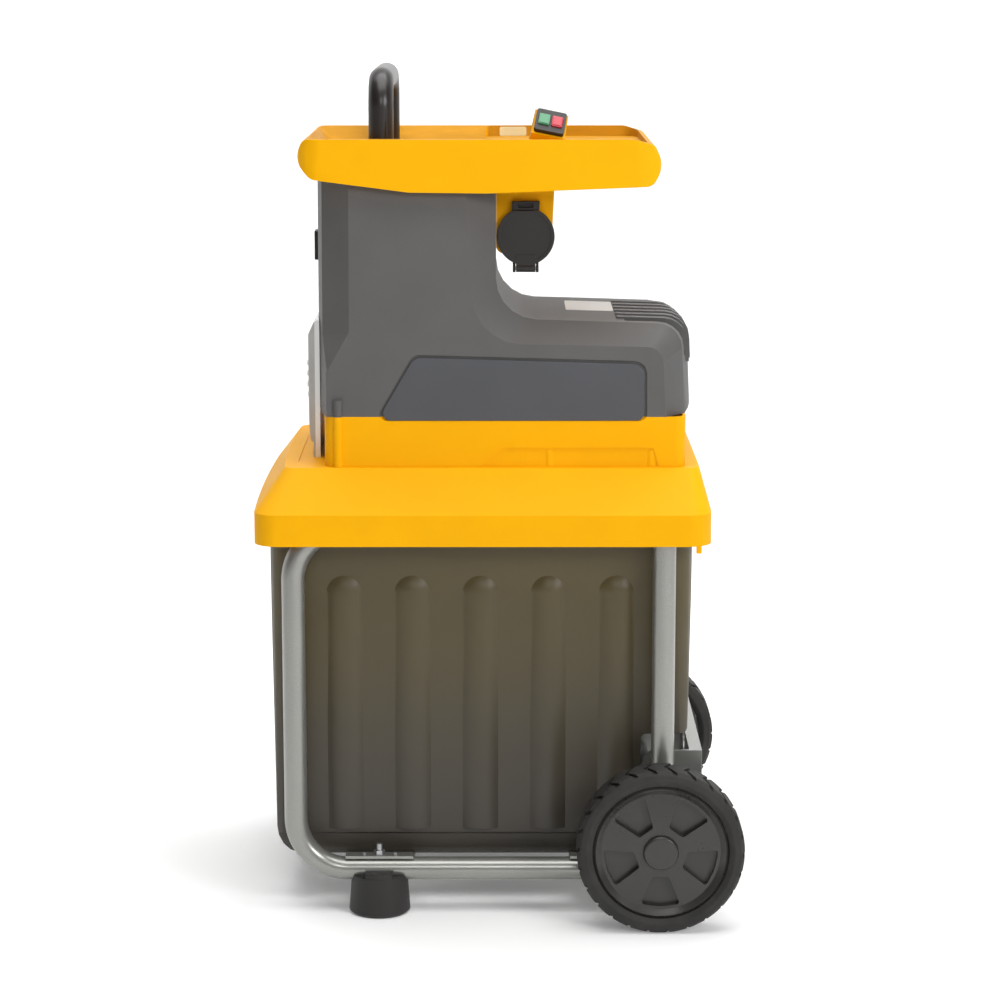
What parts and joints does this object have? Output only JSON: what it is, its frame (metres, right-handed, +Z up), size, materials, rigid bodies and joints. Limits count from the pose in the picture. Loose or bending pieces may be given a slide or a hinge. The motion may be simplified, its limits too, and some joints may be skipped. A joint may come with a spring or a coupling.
{
  "type": "garden shredder",
  "caption": "Electric roller garden shredder with a yellow feed tray and base, a grey housing, a smoked pull-out collection box and a two-wheeled tube frame.",
  "frame": {"origin": "on the floor, below the middle of the whole machine", "axes": "+Z up, -X the front, where the box pulls out, +X the rear with the wheels, -Y the machine's left side"},
  "size_m": [0.529, 0.5312, 0.914],
  "materials": {
    "tube_paint": "silver-grey coat",
    "zinc_steel": "zinc plated",
    "black_plastic": "fine grain",
    "handle_black": "gloss",
    "tyre": "matt",
    "wheel_plastic": "satin",
    "yellow_plastic": "satin gloss",
    "grey_plastic": "fine grain",
    "panel_slate": "satin",
    "lock_silver": "satin",
    "start_green": "satin",
    "stop_red": "satin",
    "smoked_plastic": "clear smoked",
    "cutter_steel": "machined",
    "cast_alloy": "as cast",
    "motor_paint": "satin",
    "winding_copper": "varnished",
    "capacitor_black": "satin"
  },
  "bodies": {
    "machine": {"left_frame_tube": "tube_paint", "right_frame_tube": "tube_paint", "front_cross_plate": "tube_paint", "rear_cross_plate": "tube_paint", "axle_bracket": "tube_paint", "bracket_bolts": "zinc_steel", "axle": "zinc_steel", "axle_spacers": "black_plastic", "axle_clips": "zinc_steel", "left_foot": "black_plastic", "right_foot": "black_plastic", "foot_bolts": "zinc_steel", "base_housing": "yellow_plastic", "left_housing_shell": "grey_plastic", "right_housing_shell": "grey_plastic", "left_side_panel": "panel_slate", "right_side_panel": "panel_slate", "housing_screws": "zinc_steel", "feed_hopper": "yellow_plastic", "feed_chute": "black_plastic", "carry_handle": "handle_black", "switch_bezel": "black_plastic", "inlet_bracket": "yellow_plastic", "inlet_socket": "black_plastic", "inlet_pins": "zinc_steel", "flap_pin": "zinc_steel", "direction_bezel": "black_plastic", "cutter_housing": "cast_alloy", "roller_bearings": "cutter_steel", "gearbox_case": "cast_alloy", "gearbox_cover": "cast_alloy", "layshaft_bearings": "cutter_steel", "motor_case": "motor_paint", "stator_core": "cutter_steel", "stator_windings": "winding_copper", "motor_end_bell": "cast_alloy", "motor_bearings": "cutter_steel", "run_capacitor": "capacitor_black"},
    "left_wheel": {"left_tyre": "tyre", "left_wheel_disc": "wheel_plastic", "left_hub_cap": "wheel_plastic"},
    "right_wheel": {"right_tyre": "tyre", "right_wheel_disc": "wheel_plastic", "right_hub_cap": "wheel_plastic"},
    "collection_box": {"collection_box": "smoked_plastic"},
    "box_lock": {"box_lock": "lock_silver"},
    "start_button": {"start_button": "start_green"},
    "stop_button": {"stop_button": "stop_red"},
    "direction_rocker": {"direction_rocker": "black_plastic"},
    "inlet_flap": {"inlet_flap": "black_plastic"},
    "adjuster": {"adjuster_spindle": "cutter_steel", "adjuster_knob": "black_plastic"},
    "pressure_plate": {"pressure_plate": "cast_alloy"},
    "rotor": {"rotor": "cutter_steel", "cooling_fan": "black_plastic", "motor_pinion": "cutter_steel"},
    "layshaft": {"layshaft_gear": "cutter_steel"},
    "cutter_roller": {"cutter_roller": "cutter_steel", "roller_shaft": "cutter_steel", "output_gear": "cutter_steel"}
  },
  "joints": [
    {"name": "left_wheel_spin", "type": "hinge", "parent": "machine", "child": "left_wheel", "pos_m": [0.1745, -0.242, 0.09], "axis": [0, 1, 0], "continuous": true},
    {"name": "right_wheel_spin", "type": "hinge", "parent": "machine", "child": "right_wheel", "pos_m": [0.1745, 0.242, 0.09], "axis": [0, 1, 0], "continuous": true},
    {"name": "box_slide", "type": "slide", "parent": "machine", "child": "collection_box", "axis": [-1, 0, 0], "range_m": [0, 0.48]},
    {"name": "lock_slide", "type": "slide", "parent": "machine", "child": "box_lock", "axis": [0, 0, -1], "range_m": [0, 0.014]},
    {"name": "start_press", "type": "slide", "parent": "machine", "child": "start_button", "axis": [-0.1446, 0.6947, -0.7046], "range_m": [0, 0.0025], "stiffness_N_per_m": 900, "springref_m": -0.0008},
    {"name": "stop_press", "type": "slide", "parent": "machine", "child": "stop_button", "axis": [-0.1446, 0.6947, -0.7046], "range_m": [0, 0.0025], "stiffness_N_per_m": 900, "springref_m": -0.0008},
    {"name": "direction_rock", "type": "hinge", "parent": "machine", "child": "direction_rocker", "pos_m": [-0.19475, 0, 0.7155], "axis": [0, 1, 0], "range_deg": [-8, 8]},
    {"name": "flap_hinge", "type": "hinge", "parent": "machine", "child": "inlet_flap", "pos_m": [0.0305, -0.0814, 0.697], "axis": [1, 0, 0], "range_deg": [0, 110], "stiffness_Nm_per_rad": 0.03, "springref_deg": -22.92},
    {"name": "adjuster_turn", "type": "hinge", "parent": "machine", "child": "adjuster", "pos_m": [-0.125, 0.155, 0.595], "axis": [0, 1, 0], "range_deg": [0, 360]},
    {"name": "plate_feed", "type": "slide", "parent": "machine", "child": "pressure_plate", "axis": [0, -1, 0], "range_m": [0, 0.0015]},
    {"name": "rotor_spin", "type": "hinge", "parent": "machine", "child": "rotor", "pos_m": [0.077, -0.006, 0.56655], "axis": [1, 0, 0], "continuous": true},
    {"name": "layshaft_spin", "type": "hinge", "parent": "machine", "child": "layshaft", "pos_m": [-0.02, 0.03832, 0.57436], "axis": [1, 0, 0], "continuous": true},
    {"name": "roller_spin", "type": "hinge", "parent": "machine", "child": "cutter_roller", "pos_m": [-0.111, -0.022, 0.585], "axis": [1, 0, 0], "continuous": true}
  ],
  "couplings": [
    {"joint": "adjuster_turn", "follows": "plate_feed", "rad_per_m": 4188.8},
    {"joint": "layshaft_spin", "follows": "rotor_spin", "ratio": -0.16129},
    {"joint": "roller_spin", "follows": "rotor_spin", "ratio": 0.026882}
  ]
}
